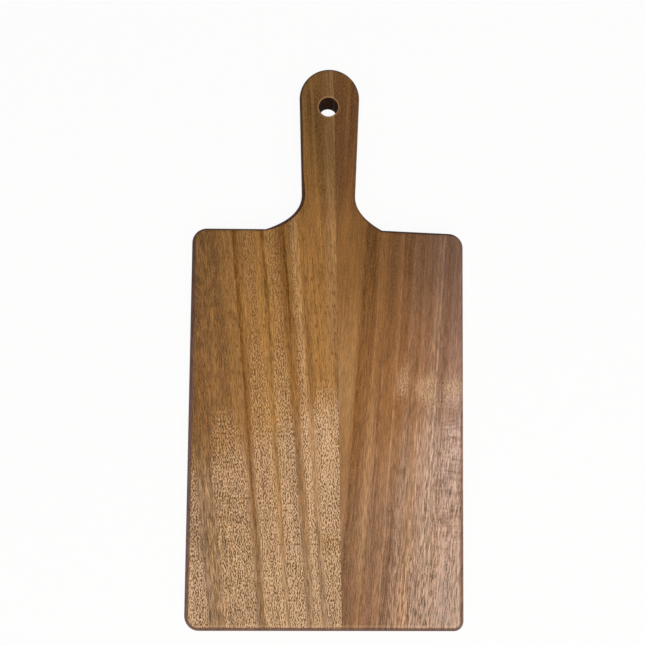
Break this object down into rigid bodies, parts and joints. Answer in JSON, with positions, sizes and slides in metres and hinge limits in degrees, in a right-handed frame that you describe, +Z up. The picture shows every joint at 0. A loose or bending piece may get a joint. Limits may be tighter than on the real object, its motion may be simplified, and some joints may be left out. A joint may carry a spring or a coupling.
{
  "type": "paddle serving board",
  "caption": "Paddle-shaped wooden serving board glued up from staves, with rounded edges, a flared handle and a drilled hanging hole.",
  "frame": {"origin": "on the underside, at the middle of the overall width and of the overall length", "axes": "+Y along the board from the foot to the handle, +X to the right seen from above with the handle away, +Z up through the serving face"},
  "size_m": [0.203, 0.4166, 0.019],
  "materials": {
    "golden_wood": "oiled satin",
    "red_brown_wood": "oiled satin",
    "cured_glue": "matte"
  },
  "bodies": {
    "root": {"left_stave": "golden_wood", "right_stave": "red_brown_wood", "glue_line": "cured_glue"}
  },
  "joints": []
}
